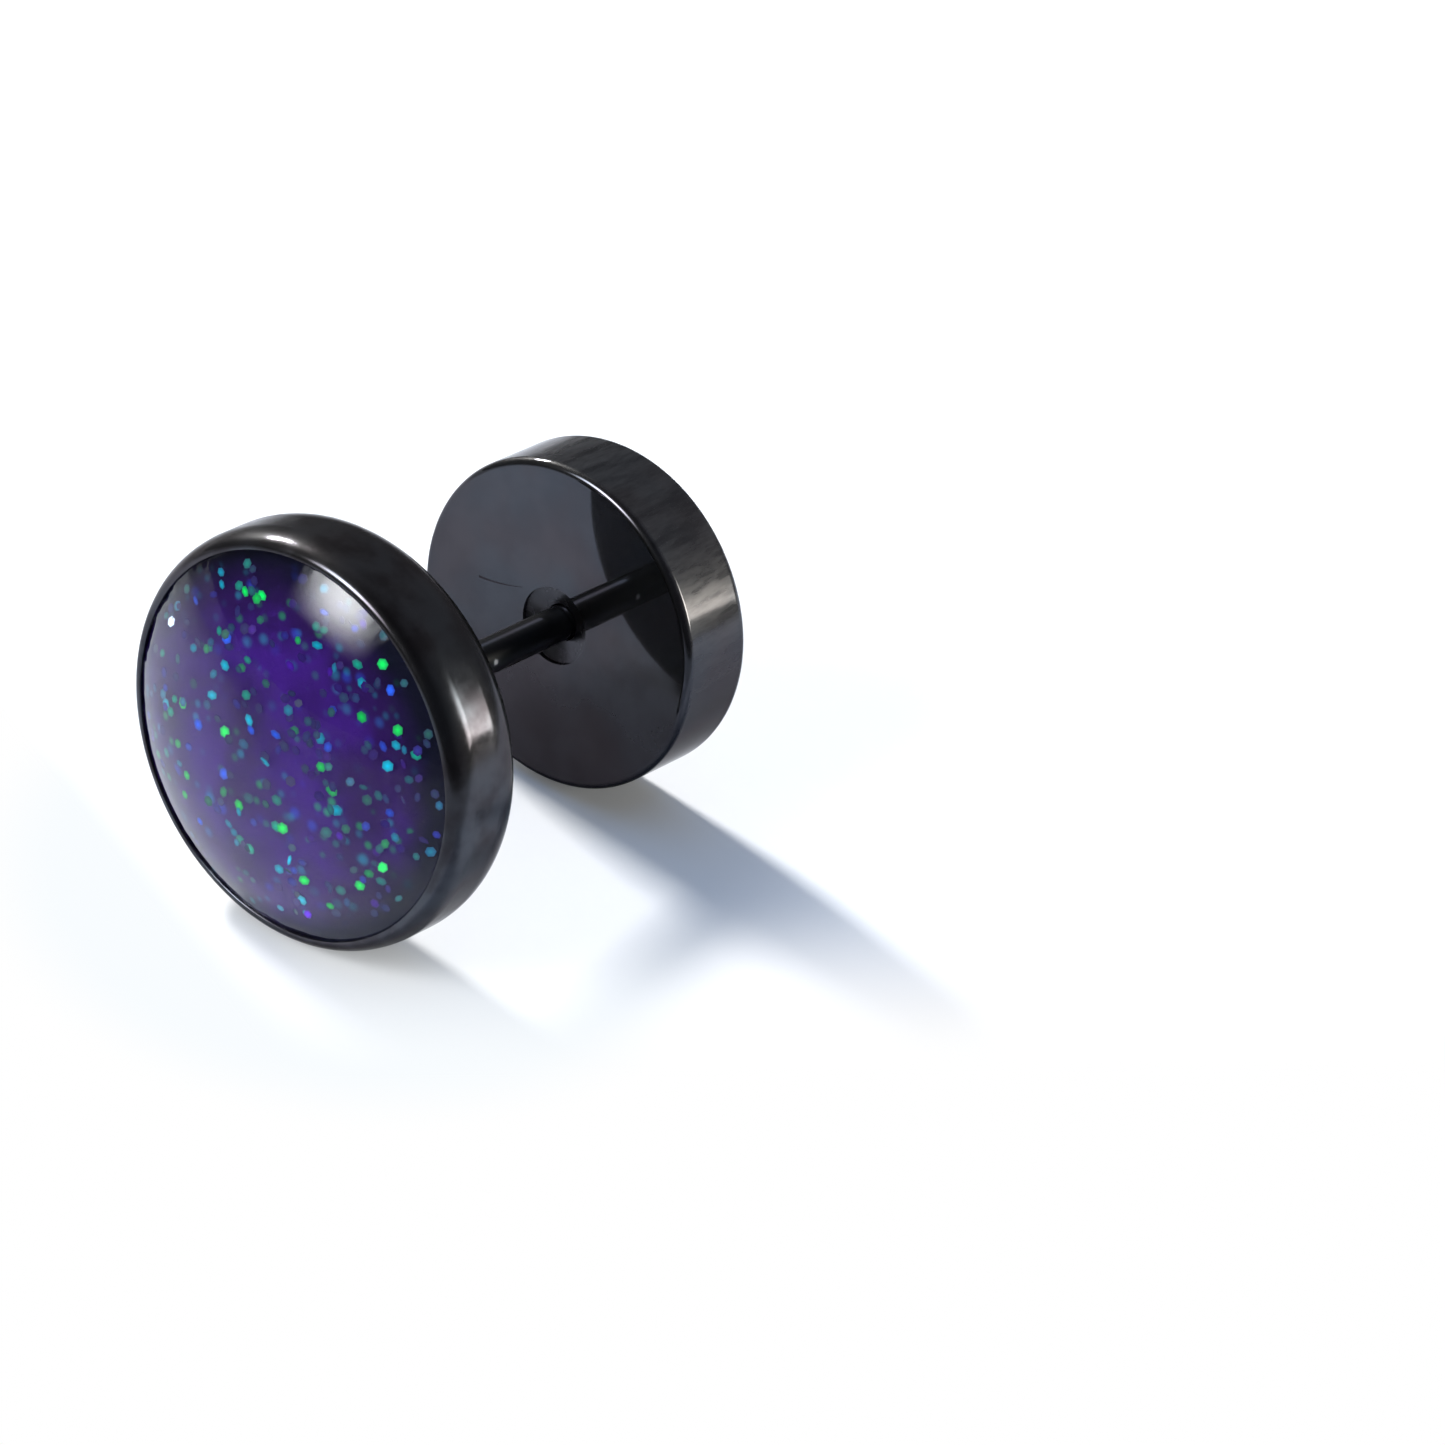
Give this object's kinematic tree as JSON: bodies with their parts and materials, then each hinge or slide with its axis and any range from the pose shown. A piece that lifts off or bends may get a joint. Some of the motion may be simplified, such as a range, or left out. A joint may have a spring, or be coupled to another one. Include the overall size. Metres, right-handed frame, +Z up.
{
  "type": "stud earring",
  "caption": "False-plug stud earring: black mirror-steel cup with a clear dome over violet glitter, a straight post and a thick screw-on back disc",
  "frame": {"origin": "on the surface that the earring lies on, under the middle of its bounding box", "axes": "+Z up; the domed front faces -Y, and the post runs along Y, falling 5.5 degrees towards the back disc, so that the rims of the cup and the back disc both touch the surface"},
  "size_m": [0.01, 0.013, 0.01],
  "materials": {
    "black_steel": "black mirror polish",
    "violet_glitter_resin": "glitter in resin",
    "clear_resin": "clear gloss"
  },
  "bodies": {
    "front": {"cup_with_post": "black_steel", "glitter_layer": "violet_glitter_resin", "resin_dome": "clear_resin"},
    "back": {"back_disc": "black_steel"}
  },
  "joints": [
    {"name": "back_disc_unscrews", "type": "slide", "parent": "front", "child": "back", "axis": [0, 0.9954, -0.0959], "range_m": [0, 0.0055]}
  ]
}
